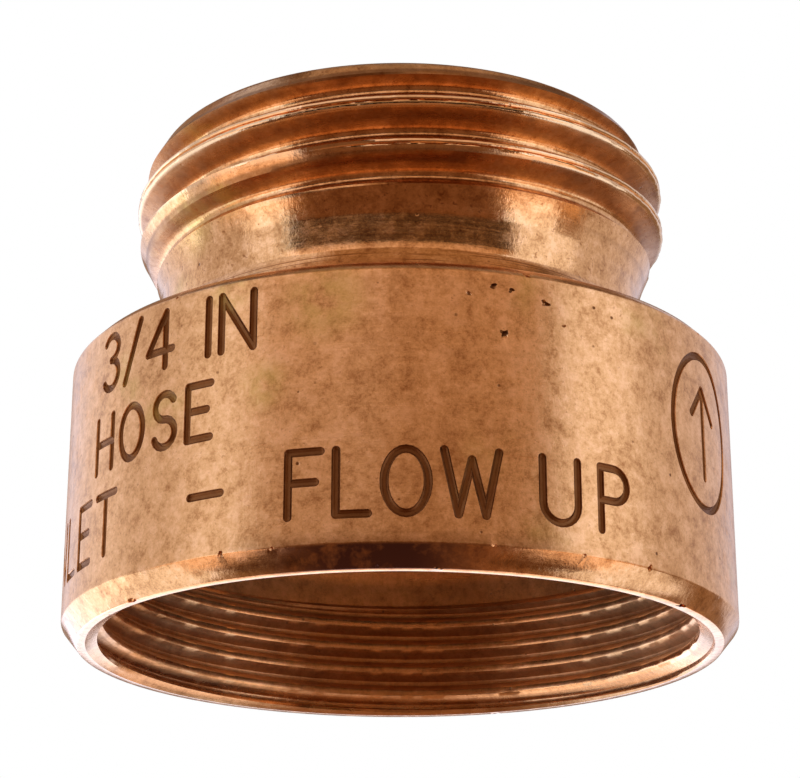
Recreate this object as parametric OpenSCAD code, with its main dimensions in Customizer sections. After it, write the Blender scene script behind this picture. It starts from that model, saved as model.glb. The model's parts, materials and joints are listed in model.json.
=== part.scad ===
// Hose-connection vacuum breaker, hose thread up, inlet down.
// Millimetres, +Z along the axis, z = 0 on the thin inlet lip.
// The hose thread and the shell are turned from one piece; the check valve sits inside it.

/* [Hose end] */
// Major diameter of the 3/4 in hose thread
hose_d = 26.92; // [22.4:0.01:32.4]
// Pitch of the hose thread, 11.5 turns an inch
hose_pitch = 2.209; // [1.8:0.001:2.7]
// Depth of the hose thread groove
hose_groove = 1.4; // [1.15:0.01:1.6]
// Flat left on each thread crest
crest_flat = 0.5; // [0.25:0.01:0.6]
// Height of a crest above the lip on the +X side
crest_z = 21.35; // [18:0.01:25]
// Depth of the turned neck below the thread crest
neck_depth = 1.56; // [1.3:0.01:1.87]
// Height of the flare from the shoulder up to the neck
flare_h = 2.4; // [2:0.01:2.88]
// Lean of the flare's straight upper part from the axis
flare_lean = 25; // [18:1:32]

/* [Overall] */
// Height from inlet lip to hose end
overall_h = 25.5; // [21.2:0.1:30.6]
// Height of the wide shell
shell_h = 13.84; // [11.5:0.01:16.61]
// Bevel round the top of the shell
edge_bevel = 0.5; // [0.41:0.01:0.6]
// Step from the hose thread out to the shell
shoulder_w = 2.86; // [2.4:0.01:3.5]

/* [Inlet end] */
// Wall left outside the inlet thread
inlet_wall = 1.24; // [1.05:0.01:1.5]
// Depth of the fine inlet thread
inlet_depth = 0.68; // [0.55:0.01:0.8]
// Turned chamfer outside the lip, across
lip_across = 0.74; // [0.61:0.01:0.89]
// Turned chamfer outside the lip, up
lip_up = 0.92; // [0.76:0.01:1.11]
// Flat of the lip, across
lip_flat = 0.46; // [0.38:0.01:0.56]

/* [Waterway] */
// Outlet bore diameter
outlet_d = 19; // [15.8:0.1:19.6]
// Thickness of the shell's top wall
top_wall = 1.44; // [1.2:0.01:1.73]
// Height of the vent chamber
chamber_h = 1.1; // [0.9:0.01:1.3]
// Number of vent holes through the shoulder
vent_n = 8; // [6:1:10]
// Vent hole diameter
vent_d = 1.8; // [1.5:0.01:2.1]

/* [Valve pieces] */
// Thickness of the rubber diaphragm's rim
dia_t = 0.8; // [0.66:0.01:0.96]
// Radius of the diaphragm's centre hole
dia_hole_r = 5.2; // [4.6:0.01:5.6]
// Thickness of the seat ring's flange
flange_t = 0.8; // [0.66:0.01:0.96]
// Thickness of the inlet gasket
gasket_t = 1.2; // [1:0.01:1.4]
// Radius of the plunger's stem
stem_r = 1.6; // [1.4:0.01:1.9]
// Radius of the plunger's head
head_r = 7.6; // [7:0.01:7.8]
// Spring wire diameter
wire_d = 0.7; // [0.58:0.01:0.8]
// Spring turns, the two closed ends counted
spring_turns = 5; // [4:0.5:6]
// Radial clearance of the sliding stem
slide_gap = 0.06; // [0.05:0.01:0.08]
// Travel of the plunger
lift = 2.2; // [1.8:0.01:2.65]

/* [Hidden] */
$fn = 96;

hose_r = hose_d / 2;
shell_r = hose_r + shoulder_w;
neck_r = hose_r - neck_depth;
groove_r = hose_r - hose_groove;
hose_h = overall_h - shell_h;
relief_z = shell_h + 0.361 * hose_h;
full_z = shell_h + 0.605 * hose_h;
bevel_z = overall_h - 0.167 * hose_h;
flare_run = 0.35 * tan(flare_lean) + 0.65 * cos(flare_lean) / (1 - sin(flare_lean));
flare = min(flare_h, 0.25 * hose_h, (shell_r - neck_r - edge_bevel - 0.3) / flare_run);
flare_arc = 0.65 * flare / (1 - sin(flare_lean));
flare_r = neck_r + flare_run * flare;
end_r = hose_r - 1.11;

major_r = shell_r - inlet_wall;
minor_r = major_r - inlet_depth;
relief_r = major_r + 0.12;
seat_r = minor_r - 0.05;
ceiling_z = shell_h - top_wall;
ledge_z = ceiling_z - chamber_h;
flange_z = ledge_z - dia_t;
gasket_z = flange_z - flange_t;
seat_z = gasket_z - gasket_t - 0.05;
thread_z = seat_z - 2.85;
chamber_r = seat_r - 0.95;
outlet_r = outlet_d / 2;
ridge_r = outlet_r + 1.1;
ridge_drop = 0.55;
vent_at = chamber_r + 0.35;

head_z = ledge_z + 0.45;
head_t = 1.35;
head_top = head_z + head_t;
guide_z = max(overall_h - 0.56415 * hose_h, head_top + lift + spring_turns * wire_d + 0.1);
guide_r = outlet_r + 0.7;
guide_t = 1.8;
ring_z = guide_z + guide_t + 0.05;
ring_t = 0.8;
ring_r = guide_r + 0.7;

disc_t = 0.8;
nut_t = 1.05;
hub_top = ledge_z - nut_t - 0.35;
hub_z = hub_top - 2;
spring_r = 5.2;

// A closed sweep round the axis: each row of pts holds one section as [radius, height].
module sweep(turns, steps, pts, lead) {
    n = len(pts[0]);
    count = round(turns * steps);
    rows = [for (i = [0:count])
        let (a = lead + 360 * i / steps, row = pts[min(i, len(pts) - 1)])
        for (p = row) [p[0] * cos(a), p[0] * sin(a), p[1]]];
    skin = [for (i = [0:count - 1]) for (k = [0:n - 1]) for (half = [0, 1])
        let (a = i * n + k, b = i * n + (k + 1) % n)
        half == 0 ? [a, b, a + n] : [b, b + n, a + n]];
    cap_low = [for (k = [1:n - 2]) [0, k + 1, k]];
    cap_high = [for (k = [1:n - 2]) [count * n, count * n + k, count * n + k + 1]];
    polyhedron(points = rows, faces = concat(skin, cap_low, cap_high), convexity = 12);
}

// One section of the hose thread's groove, r_root deep, centred on height z.
function groove_row(z, r_root) =
    let (top = (hose_pitch - crest_flat) / 2, slope = (top - 0.17) / hose_groove)
    [[hose_r + 0.4, z + top + 0.4 * slope],
     [r_root, z + 0.17 + (r_root - groove_r) * slope],
     [r_root, z - 0.17 - (r_root - groove_r) * slope],
     [hose_r + 0.4, z - top - 0.4 * slope]];

module hose_groove_cut() {
    steps = 30;
    low = crest_z - hose_pitch / 2;
    first = -ceil((low - relief_z) / hose_pitch * steps);
    last = ceil((overall_h + 1.2 - low) / hose_pitch * steps);
    rows = [for (i = [first:last])
        groove_row(low + hose_pitch * i / steps,
                   groove_r + 0.75 * max(0, 1 - (i - first) / 8))];
    sweep((last - first) / steps, steps, rows, 360 * first / steps);
}

module body_blank() {
    rotate_extrude() polygon(concat(
        [[shell_r - lip_across - lip_flat, 0], [shell_r - lip_across, 0], [shell_r, lip_up],
         [shell_r, shell_h - edge_bevel], [shell_r - edge_bevel, shell_h]],
        [for (i = [0:7]) let (a = (90 - flare_lean) * i / 7)
            [flare_r - flare_arc * sin(a), shell_h + flare_arc * (1 - cos(a))]],
        [for (i = [0:10])
            [neck_r + neck_depth * pow(i / 10, 1.9),
             shell_h + flare + (full_z - shell_h - flare) * i / 10]],
        [[hose_r, bevel_z],
         [end_r, overall_h], [guide_r + 0.4, overall_h], [guide_r, overall_h - 0.4],
         [guide_r, ring_z + ring_t + 0.1], [ring_r, ring_z + ring_t + 0.1],
         [ring_r, ring_z - 0.05], [guide_r, ring_z - 0.05],
         [guide_r, guide_z], [outlet_r, guide_z],
         [outlet_r, ceiling_z - ridge_drop + 0.2], [outlet_r + 0.35, ceiling_z - ridge_drop],
         [ridge_r - 0.35, ceiling_z - ridge_drop], [ridge_r, ceiling_z - ridge_drop + 0.3],
         [ridge_r, ceiling_z], [chamber_r, ceiling_z],
         [chamber_r, ledge_z], [seat_r, ledge_z],
         [seat_r, seat_z], [relief_r, seat_z - 0.35],
         [relief_r, thread_z + 0.5], [minor_r, thread_z],
         [minor_r, 0.75]]));
}

// Turned brass shell with the hose thread, the inlet socket and the vents.
module body() {
    color("#b87a4c") difference() {
        body_blank();
        for (i = [0:vent_n - 1])
            rotate([0, 0, (i + 0.5) * 360 / vent_n])
                translate([vent_at, 0, ledge_z + 0.6])
                    cylinder(d = vent_d, h = top_wall + chamber_h + 2, $fn = 32);
        hose_groove_cut();
    }
}

// Flat rubber washer that seals against the pipe end.
module inlet_gasket() {
    color("#26262a") rotate_extrude()
        translate([minor_r - 4.9, gasket_z - gasket_t])
            square([4.75, gasket_t]);
}

// Spider that clamps the diaphragm and guides the foot of the plunger.
module seat_ring() {
    color("#c9a15e") difference() {
        union() {
            rotate_extrude() translate([seat_r - 3.6, gasket_z]) square([3.57, flange_t]);
            rotate_extrude() translate([dia_hole_r + 0.2, hub_top - 1])
                square([1.8, flange_z - hub_top + 1]);
            translate([0, 0, hub_z]) cylinder(r = stem_r + 1.3, h = hub_top - hub_z);
            for (i = [0:3]) rotate([0, 0, 45 + 90 * i]) {
                translate([stem_r + 0.7, -0.8, hub_top - 1]) cube([dia_hole_r - stem_r, 1.6, 1]);
                translate([dia_hole_r + 1.5, -0.8, gasket_z])
                    cube([seat_r - dia_hole_r - 3.5, 1.6, flange_t]);
            }
        }
        translate([0, 0, hub_z - 1])
            cylinder(r = stem_r + slide_gap, h = hub_top - hub_z + 2, $fn = 48);
    }
}

// Rubber diaphragm: clamped rim, thin web, thick lip round the centre hole.
module diaphragm() {
    color("#1f1f22") rotate_extrude() polygon([
        [dia_hole_r, flange_z + 0.12], [dia_hole_r + 0.12, flange_z],
        [dia_hole_r + 2, flange_z], [dia_hole_r + 2.3, flange_z + 0.15],
        [chamber_r - 0.6, flange_z + 0.15], [chamber_r - 0.3, flange_z],
        [seat_r - 0.1, flange_z], [seat_r - 0.1, ledge_z],
        [chamber_r - 0.3, ledge_z], [chamber_r - 0.6, ledge_z - 0.15],
        [dia_hole_r + 2.3, ledge_z - 0.15], [dia_hole_r + 2, ledge_z],
        [dia_hole_r + 0.12, ledge_z], [dia_hole_r, ledge_z - 0.12]]);
}

// Moulded plunger: head with a pocket for the disc, spring boss, stem both ways.
module plunger() {
    tip = guide_z + guide_t + 0.35;
    foot = hub_z + 0.1;
    color("#e8e4d8") rotate_extrude() polygon([
        [0, foot], [stem_r - 0.4, foot], [stem_r, foot + 0.4],
        [stem_r, ledge_z + disc_t], [head_r - 0.55, ledge_z + disc_t],
        [head_r - 0.55, head_z], [head_r - 0.1, head_z], [head_r, head_z + 0.1],
        [head_r, head_top - 0.3], [head_r - 0.3, head_top],
        [4.4, head_top], [4.4, head_top + 0.9], [4.1, head_top + 1.2],
        [stem_r + 1, head_top + 1.2], [stem_r, head_top + 2.2],
        [stem_r, tip - 0.5], [stem_r - 0.5, tip], [0, tip]]);
}

// Rubber sealing washer held in the plunger's pocket.
module seal_disc() {
    color("#3a3a3e") rotate_extrude()
        translate([stem_r + 0.02, ledge_z]) square([head_r - stem_r - 0.62, disc_t]);
}

// Thin brass nut that holds the sealing washer on the stem.
module disc_nut() {
    color("#b58a45") translate([0, 0, ledge_z - nut_t]) difference() {
        intersection() {
            cylinder(r = 3.45, h = nut_t, $fn = 6);
            cylinder(r1 = 3.2, r2 = 4.2, h = nut_t);
        }
        translate([0, 0, -1]) cylinder(r = stem_r, h = nut_t + 2, $fn = 48);
    }
}

// Height of the spring's centre line at a share u of its length, ends closed.
function spring_at(u, z0, z1) =
    let (e = 0.8 / spring_turns, rise = 0.8 * wire_d * 1.02)
    u < e ? z0 + rise * u / e
    : u > 1 - e ? z1 - rise * (1 - u) / e
    : z0 + rise + (z1 - z0 - 2 * rise) * (u - e) / (1 - 2 * e);

// Stainless compression spring that closes the plunger.
module check_spring() {
    steps = 24;
    count = round(spring_turns * steps);
    z0 = head_top + wire_d / 2;
    z1 = guide_z + 0.05 - wire_d / 2;
    rows = [for (i = [0:count]) let (z = spring_at(i / count, z0, z1))
        [for (k = [7:-1:0])
            [spring_r + wire_d / 2 * cos(45 * k), z + wire_d / 2 * sin(45 * k)]]];
    color("#c4c8cc") sweep(spring_turns, steps, rows, 0);
}

// Moulded spider in the outlet that guides the stem and holds the spring.
module outlet_guide() {
    low = guide_z + 0.05;
    color("#e2ddcc") difference() {
        union() {
            translate([0, 0, low]) rotate_extrude()
                translate([guide_r - 1.2, 0]) square([1.15, guide_t - 0.05]);
            translate([0, 0, low - 0.5]) cylinder(r = stem_r + 1.5, h = guide_t + 0.45);
            for (i = [0:3]) rotate([0, 0, 90 * i])
                translate([stem_r + 1, -0.8, low])
                    cube([guide_r - stem_r - 1.7, 1.6, guide_t - 0.6]);
        }
        translate([0, 0, low - 2])
            cylinder(r = stem_r + slide_gap, h = guide_t + 4, $fn = 48);
    }
}

// Sprung wire-cut ring that keeps the guide in its bore.
module retaining_ring() {
    color("#9aa0a6") translate([0, 0, ring_z]) difference() {
        union() {
            rotate([0, 0, 110]) rotate_extrude(angle = 320)
                translate([guide_r - 0.7, 0]) square([1.35, ring_t]);
            for (a = [110, 70]) rotate([0, 0, a]) translate([guide_r - 0.75, 0, 0])
                cylinder(r = 1.15, h = ring_t, $fn = 32);
        }
        for (a = [110, 70]) rotate([0, 0, a]) translate([guide_r - 0.85, 0, -1])
            cylinder(r = 0.55, h = ring_t + 2, $fn = 24);
    }
}

body();
inlet_gasket();
seat_ring();
diaphragm();
plunger();
seal_disc();
disc_nut();
check_spring();
outlet_guide();
retaining_ring();
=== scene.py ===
"""Hose-connection vacuum breaker: turned bronze shell, hose thread up, inlet down.

Sizes are millimetres in the classes below and metres in every mesh. The frame's +Z is the axis,
and z = 0 is the thin inlet lip.
"""
import json
import logging
import math
from collections import defaultdict
from contextlib import contextmanager
from dataclasses import dataclass, field
from enum import Enum
from functools import reduce
from typing import Callable, Iterable, Iterator, Sequence, Union

import bmesh
import bpy
import numpy as np
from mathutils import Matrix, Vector

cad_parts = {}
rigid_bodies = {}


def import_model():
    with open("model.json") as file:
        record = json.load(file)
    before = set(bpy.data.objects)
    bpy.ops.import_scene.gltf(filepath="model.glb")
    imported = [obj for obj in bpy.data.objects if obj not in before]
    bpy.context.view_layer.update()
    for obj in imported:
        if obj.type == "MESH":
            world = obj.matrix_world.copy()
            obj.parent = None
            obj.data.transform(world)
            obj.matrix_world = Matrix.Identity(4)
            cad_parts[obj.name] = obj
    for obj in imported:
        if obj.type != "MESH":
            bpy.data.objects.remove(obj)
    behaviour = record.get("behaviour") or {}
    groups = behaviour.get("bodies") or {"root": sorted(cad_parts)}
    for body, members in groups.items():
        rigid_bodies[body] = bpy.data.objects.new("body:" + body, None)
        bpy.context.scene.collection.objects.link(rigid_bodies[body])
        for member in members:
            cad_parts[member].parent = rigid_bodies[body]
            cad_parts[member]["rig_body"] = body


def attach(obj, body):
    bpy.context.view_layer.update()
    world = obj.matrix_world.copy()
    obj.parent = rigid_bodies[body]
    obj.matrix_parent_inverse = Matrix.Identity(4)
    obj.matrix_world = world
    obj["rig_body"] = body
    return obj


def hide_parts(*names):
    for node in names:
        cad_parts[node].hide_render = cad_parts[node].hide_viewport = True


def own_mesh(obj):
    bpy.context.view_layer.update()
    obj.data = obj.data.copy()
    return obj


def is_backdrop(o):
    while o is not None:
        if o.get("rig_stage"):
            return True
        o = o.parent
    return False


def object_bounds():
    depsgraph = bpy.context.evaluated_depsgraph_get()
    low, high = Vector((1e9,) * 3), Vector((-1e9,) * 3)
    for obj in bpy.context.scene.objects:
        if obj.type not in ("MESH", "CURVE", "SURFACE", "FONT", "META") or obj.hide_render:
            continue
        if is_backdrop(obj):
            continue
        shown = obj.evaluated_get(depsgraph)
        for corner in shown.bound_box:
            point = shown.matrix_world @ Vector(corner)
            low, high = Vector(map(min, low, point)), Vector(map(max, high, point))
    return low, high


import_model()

MM = 0.001
CAD_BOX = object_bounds()
LOG = logging.getLogger("vacuum_breaker")

Socket = bpy.types.NodeSocket
Value = Union[float, Socket]
Colour = tuple[float, float, float]
Point = tuple[float, float]
Path = Sequence[Point]
Spot = tuple[float, float, float, float]
Face = tuple[int, ...]
Part = tuple[np.ndarray, list[Face]]


class Slot(Enum):
    """The record's material slots."""

    BRONZE = "bronze"
    YELLOW_BRASS = "yellow_brass"
    RUBBER = "rubber"
    ACETAL = "acetal"
    SPRING_STEEL = "spring_steel"


class Rider(Enum):
    """The bodies that pieces ride on."""

    HOUSING = "housing"
    VALVE = "valve"


class Join(Enum):
    """Ways in which one closed shape changes another."""

    CUT = "DIFFERENCE"
    ADD = "UNION"
    KEEP = "INTERSECT"


class Item(Enum):
    """Shapes that are repeated round the axis."""

    BAR = "GeometryNodeMeshCube"
    PIN = "GeometryNodeMeshCylinder"


# ---------------------------------------------------------------- meshes


def mesh_piece(name: str, points: np.ndarray, faces: Iterable[Sequence[int]]) -> bpy.types.Object:
    """Make an object from points in millimetres.

    Args:
        name: The object's name.
        points: One row of x, y, z for each vertex.
        faces: Vertex numbers of each face, outward side counter-clockwise.

    Returns:
        The object, linked to the scene at the origin.
    """
    mesh = bpy.data.meshes.new(name)
    mesh.from_pydata((np.asarray(points, float) * MM).tolist(), [], [list(f) for f in faces])
    made = bpy.data.objects.new(name, mesh)
    bpy.context.scene.collection.objects.link(made)
    return made


@contextmanager
def edited(piece: bpy.types.Object) -> Iterator[bmesh.types.BMesh]:
    """Open a piece's mesh for changes and write it back at the end.

    Args:
        piece: The piece to change.

    Yields:
        Its mesh as a bmesh.
    """
    shape = bmesh.new()
    shape.from_mesh(piece.data)
    yield shape
    shape.to_mesh(piece.data)
    shape.free()


def weld(piece: bpy.types.Object, gap: float = 0.002) -> None:
    """Merge doubles and drop the faces that vanish.

    Args:
        piece: The piece to clean.
        gap: How near doubles are, in millimetres.
    """
    with edited(piece) as shape:
        bmesh.ops.remove_doubles(shape, verts=shape.verts, dist=gap * MM)
        bmesh.ops.dissolve_degenerate(shape, edges=shape.edges, dist=0.2 * gap * MM)


def gather(name: str, parts: Iterable[Part]) -> bpy.types.Object:
    """Make one object of several closed parts, with every face outward.

    Args:
        name: The object's name.
        parts: Points and faces of each part.

    Returns:
        The object.
    """
    points, faces, base = [], [], 0
    for some, these in parts:
        points.append(some)
        faces += [tuple(base + i for i in face) for face in these]
        base += len(some)
    made = mesh_piece(name, np.concatenate(points), faces)
    with edited(made) as shape:
        bmesh.ops.recalc_face_normals(shape, faces=shape.faces)
    return made


def soften(piece: bpy.types.Object, angle: float = 34.0) -> None:
    """Shade smooth, and keep edges sharper than angle degrees."""
    piece.data.polygons.foreach_set("use_smooth", [True] * len(piece.data.polygons))
    piece.data.set_sharp_from_angle(angle=math.radians(angle))


def settle(piece: bpy.types.Object) -> None:
    """Replace the piece's mesh with its evaluated one and drop the modifiers.

    Args:
        piece: The piece, with its modifiers live.
    """
    bpy.context.view_layer.update()
    seen = piece.evaluated_get(bpy.context.evaluated_depsgraph_get())
    mesh = bpy.data.meshes.new_from_object(seen)
    piece.modifiers.clear()
    piece.data = mesh


def combine(piece: bpy.types.Object, other: bpy.types.Object, join: Join = Join.CUT) -> None:
    """Change the piece by another closed shape, and remove that shape.

    Args:
        piece: The piece that stays.
        other: The shape that cuts it, is added to it or says what is kept of it.
        join: Which of the three.
    """
    change = piece.modifiers.new("combine", "BOOLEAN")
    change.object = other
    change.operation = join.value
    change.solver = "MANIFOLD"
    settle(piece)
    bpy.data.objects.remove(other)


def round_edges(piece: bpy.types.Object, width: float, angle: float = 40.0) -> None:
    """Round the piece's sharp edges.

    Args:
        piece: The piece to change.
        width: Width of the rounding in millimetres.
        angle: Edges sharper than this many degrees are rounded.
    """
    change = piece.modifiers.new("round", "BEVEL")
    change.width = width * MM
    change.segments = 2
    change.limit_method = "ANGLE"
    change.angle_limit = math.radians(angle)
    settle(piece)


def bands(rows: Iterable[tuple[int, int]], columns: int, around: bool = True) -> list[Face]:
    """Four-sided faces between pairs of rows of points.

    Args:
        rows: Numbers of the lower and the upper row of each strip.
        columns: Number of points in a row.
        around: Whether the last column joins the first.

    Returns:
        The faces, strip after strip.
    """
    return [(a * columns + i, a * columns + (i + 1) % columns,
             b * columns + (i + 1) % columns, b * columns + i)
            for a, b in rows for i in range(columns if around else columns - 1)]


def in_turn(count: int) -> list[tuple[int, int]]:
    """Each number below count with the next, and the last with the first."""
    return [(k, (k + 1) % count) for k in range(count)]


def circle(radius: float, columns: int) -> np.ndarray:
    """Points round the axis, x and y of each."""
    turn = np.arange(columns) * 2 * math.pi / columns
    return radius * np.column_stack([np.cos(turn), np.sin(turn)])


def level(flat: np.ndarray, z: float) -> np.ndarray:
    """Points in x and y, brought to one height."""
    return np.column_stack([flat, np.full(len(flat), z)])


def prism(flat: np.ndarray, low: float, high: float) -> Part:
    """An upright prism over an outline.

    Args:
        flat: The outline's points, x and y of each.
        low: Height of its foot.
        high: Height of its top.

    Returns:
        Its points and faces.
    """
    n = len(flat)
    caps = [tuple(range(n - 1, -1, -1)), tuple(range(n, 2 * n))]
    return np.concatenate([level(flat, low), level(flat, high)]), [*bands([(0, 1)], n), *caps]


def lathe(name: str, profile: Path, columns: int = 128) -> bpy.types.Object:
    """Turn a closed profile round the axis.

    Args:
        name: The object's name.
        profile: Radius and height of each corner, outside going up first. A radius of 0 closes
            a pole.
        columns: Number of steps in the turn.

    Returns:
        A closed object.
    """
    strips = [(a, b) for a, b in in_turn(len(profile)) if profile[a][0] + profile[b][0] > 0]
    rows = [level(circle(r, columns), z) for r, z in profile]
    made = mesh_piece(name, np.concatenate(rows), bands(strips, columns))
    weld(made, 0.0005)
    return made


def arc(centre: Point, radius: Point, start: float, end: float, steps: int = 12) -> list[Point]:
    """Points on an ellipse's arc.

    Args:
        centre: Its centre.
        radius: Its two radii.
        start: Degrees of the first point.
        end: Degrees of the last one.
        steps: Number of steps between them.

    Returns:
        The points, both ends with them.
    """
    angles = np.radians(np.linspace(start, end, steps + 1))
    return [(centre[0] + radius[0] * math.cos(a), centre[1] + radius[1] * math.sin(a))
            for a in angles]


def smooth_noise(angles: np.ndarray, seed: int, waves: Sequence[int]) -> np.ndarray:
    """A repeatable wobble round the turn, made of whole waves.

    Args:
        angles: The angles to find it at, in radians.
        seed: Which wobble.
        waves: Waves in the turn of each part.

    Returns:
        Values from about -1 to 1.
    """
    pick = np.random.default_rng(seed)
    total = sum(pick.uniform(0.6, 1.0) * np.sin(w * angles + pick.uniform(0, 2 * math.pi))
                for w in waves)
    return total / max(len(waves) ** 0.5, 1.0)


# ---------------------------------------------------------------- node trees


class NodeBench:
    """Short hand for wiring one node tree."""

    def __init__(self, tree: bpy.types.NodeTree) -> None:
        """Hold the tree that the bench wires."""
        self.tree = tree

    def feed(self, node: bpy.types.Node, inputs: dict[Union[str, int], object]) -> None:
        """Give a node its inputs.

        Args:
            node: The node to feed.
            inputs: Values or sockets for its inputs, by name or number.
        """
        for key, value in inputs.items():
            if isinstance(value, Socket):
                self.tree.links.new(value, node.inputs[key])
            else:
                node.inputs[key].default_value = value

    def node(self, kind: str, inputs: dict[Union[str, int], object] | None = None,
             **settings: object) -> bpy.types.Node:
        """Add a node.

        Args:
            kind: The node's type name.
            inputs: Values or sockets for its inputs, by name or number.
            **settings: Properties of the node.

        Returns:
            The node.
        """
        made = self.tree.nodes.new(kind)
        for key, value in settings.items():
            setattr(made, key, value)
        self.feed(made, inputs or {})
        return made

    def maths(self, operation: str, *values: Value, clamp: bool = False) -> Socket:
        """One Math node's result."""
        return self.node("ShaderNodeMath", dict(enumerate(values)), operation=operation,
                         use_clamp=clamp).outputs[0]

    def times(self, *values: Value) -> Socket:
        """The values multiplied together."""
        return reduce(lambda first, second: self.maths("MULTIPLY", first, second), values)

    def either(self, *masks: Value) -> Socket:
        """The largest of the masks."""
        return reduce(lambda first, second: self.maths("MAXIMUM", first, second), masks)

    def scaled(self, value: Value, scale: Value, shift: Value, clamp: bool = False) -> Socket:
        """A value times a scale, with a shift added."""
        return self.maths("MULTIPLY_ADD", value, scale, shift, clamp=clamp)

    def step(self, value: Value, low: float, high: float) -> Socket:
        """A smooth step from 0 to 1.

        Args:
            value: What the step follows.
            low: Where it is 0; above high too, for a step down.
            high: Where it is 1.

        Returns:
            The step's socket.
        """
        up = low <= high
        return self.node("ShaderNodeMapRange", {
            "Value": value, "From Min": min(low, high), "From Max": max(low, high),
            "To Min": 0.0 if up else 1.0, "To Max": 1.0 if up else 0.0,
        }, interpolation_type="SMOOTHSTEP").outputs["Result"]

    def band(self, value: Value, low: float, high: float, soft: float) -> Socket:
        """1 between low and high, falling to 0 over soft outside them."""
        return self.times(self.step(value, low - soft, low), self.step(value, high + soft, high))

    def mix(self, share: Value, first: object, second: object) -> Socket:
        """Two colours, or sockets of colours, mixed by share."""
        first, second = (c if isinstance(c, Socket) else (*c, 1.0) for c in (first, second))
        return self.node("ShaderNodeMix", {0: share, 6: first, 7: second},
                         data_type="RGBA", clamp_factor=True).outputs[2]

    def noise(self, vector: Socket, scale: float, detail: float, rough: float) -> Socket:
        """A noise texture's value, about 0.5 in the middle."""
        return self.node("ShaderNodeTexNoise", {
            "Vector": vector, "Scale": scale, "Detail": detail, "Roughness": rough}).outputs["Fac"]

    def vector(self, x: Value, y: Value, z: Value) -> Socket:
        """A vector from three values."""
        return self.node("ShaderNodeCombineXYZ", {"X": x, "Y": y, "Z": z}).outputs["Vector"]

    def between(self, operation: str, **inputs: object) -> bpy.types.NodeOutputs:
        """Outputs of a Vector Math node on the vectors first and second, or first and a scale."""
        keys = {"first": 0, "second": 1, "scale": "Scale"}
        return self.node("ShaderNodeVectorMath", {keys[k]: v for k, v in inputs.items()},
                         operation=operation).outputs


@dataclass(frozen=True)
class Places:
    """Sockets for a point on a piece, in millimetres."""

    bench: NodeBench
    point: Socket
    x: Socket
    y: Socket
    z: Socket
    radius: Socket

    @classmethod
    def on(cls, bench: NodeBench) -> "Places":
        """Read the object's own coordinates.

        Args:
            bench: The bench of the material's tree.

        Returns:
            The sockets.
        """
        here = bench.node("ShaderNodeTexCoord").outputs["Object"]
        point = bench.between("SCALE", first=here, scale=1 / MM)[0]
        x, y, z = bench.node("ShaderNodeSeparateXYZ", {"Vector": point}).outputs
        radius = bench.between("LENGTH", first=bench.vector(x, y, 0.0))["Value"]
        return cls(bench, point, x, y, z, radius)

    def rings(self, fine: float, drift: float = 0.05) -> Socket:
        """Coordinates that change fast along the profile and slowly round the turn."""
        times, across = self.bench.times, self.bench.scaled(self.y, 0.7, self.x)
        return self.bench.vector(times(self.radius, fine), times(self.z, fine),
                                 times(across, drift))

    def upright(self, fast: float, slow: float) -> Socket:
        """Coordinates that change fast round the turn and slowly along the axis."""
        times = self.bench.times
        return self.bench.vector(times(self.x, fast), times(self.y, fast), times(self.z, slow))

    def spot(self, angle: float, radius: float, height: float, size: float) -> Socket:
        """Mask of one place on the surface.

        Args:
            angle: Degrees of the place from +X.
            radius: Its distance from the axis.
            height: Its height.
            size: How far from it the mask falls to 0, in millimetres.

        Returns:
            The mask's socket.
        """
        turn = math.radians(angle)
        centre = (radius * math.cos(turn), radius * math.sin(turn), height)
        away = self.bench.between("DISTANCE", first=self.point, second=centre)["Value"]
        return self.bench.step(away, size, 0.2 * size)


# ---------------------------------------------------------------- finishes


@dataclass(frozen=True)
class Finish:
    """A procedural finish; each kind paints its own tree."""

    name: str
    slot: Slot
    base: Colour
    roughness: float

    def paint(self, bench: NodeBench, shader: bpy.types.Node) -> None:
        """Wire the shader; each finish says how."""
        raise NotImplementedError

    def wire(self, bench: NodeBench, shader: bpy.types.Node, colour: Socket, rough: Socket,
             height: Socket, **others: object) -> None:
        """Feed the shader what the surface shows.

        Args:
            bench: The material's bench.
            shader: The surface shader to feed.
            colour: The surface's colour.
            rough: Its roughness.
            height: Its fine relief in millimetres.
            **others: Other inputs, with underscores for the spaces in their names.
        """
        bump = bench.node("ShaderNodeBump", {"Strength": 1.0, "Distance": MM, "Height": height})
        bench.feed(shader, {
            "Base Color": colour, "Roughness": rough, "Normal": bump.outputs[0],
            **{key.replace("_", " "): value for key, value in others.items()}})

    def material(self) -> bpy.types.Material:
        """Make the finish's material, or find it if it is made.

        Returns:
            The material.
        """
        made = bpy.data.materials.get(self.name)
        if made is None:
            made = bpy.data.materials.new(self.name)
            made.use_nodes = True
            made.diffuse_color = (*self.base, 1.0)
            self.paint(NodeBench(made.node_tree), made.node_tree.nodes["Principled BSDF"])
        return made

    def dress(self, piece: bpy.types.Object) -> None:
        """Put the finish on a piece's whole surface.

        Args:
            piece: The piece to dress.
        """
        piece.data.materials.clear()
        piece.data.materials.append(self.material())


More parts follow.
